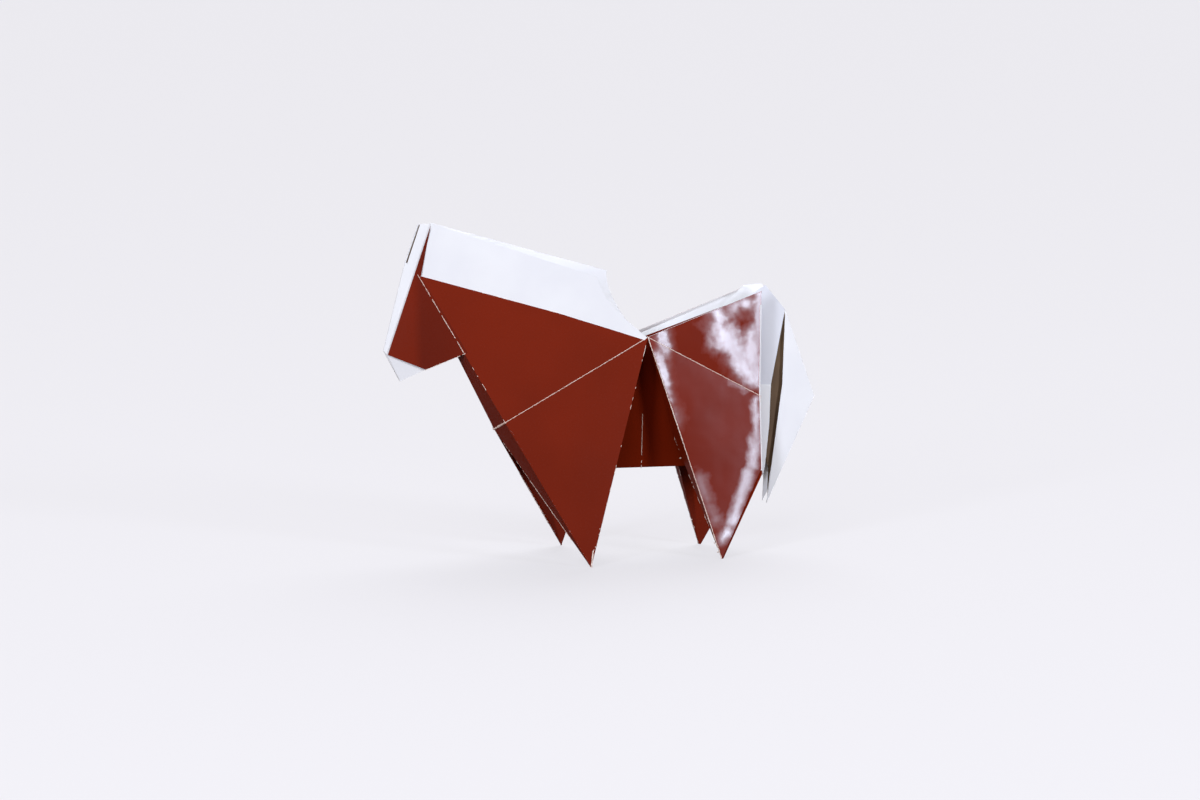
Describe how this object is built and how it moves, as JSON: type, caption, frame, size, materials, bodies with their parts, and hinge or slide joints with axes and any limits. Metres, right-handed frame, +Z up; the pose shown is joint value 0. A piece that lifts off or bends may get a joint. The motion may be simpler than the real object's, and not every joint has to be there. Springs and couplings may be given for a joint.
{
  "type": "origami horse",
  "caption": "Standing horse folded from one square of paper, glossy brick red outside and white inside, with a white mane, nose and tail.",
  "frame": {"origin": "on the surface it stands on, under the middle of its length and width", "axes": "+X from the nose to the tail, +Y from the near side to the far side, +Z up"},
  "size_m": [0.0992, 0.0314, 0.0759],
  "materials": {
    "coated_paper": "glossy brick-red coating on the outside, plain white paper on the inside, worn white along the folds"
  },
  "bodies": {
    "root": {"folded_horse": "coated_paper"}
  },
  "joints": []
}
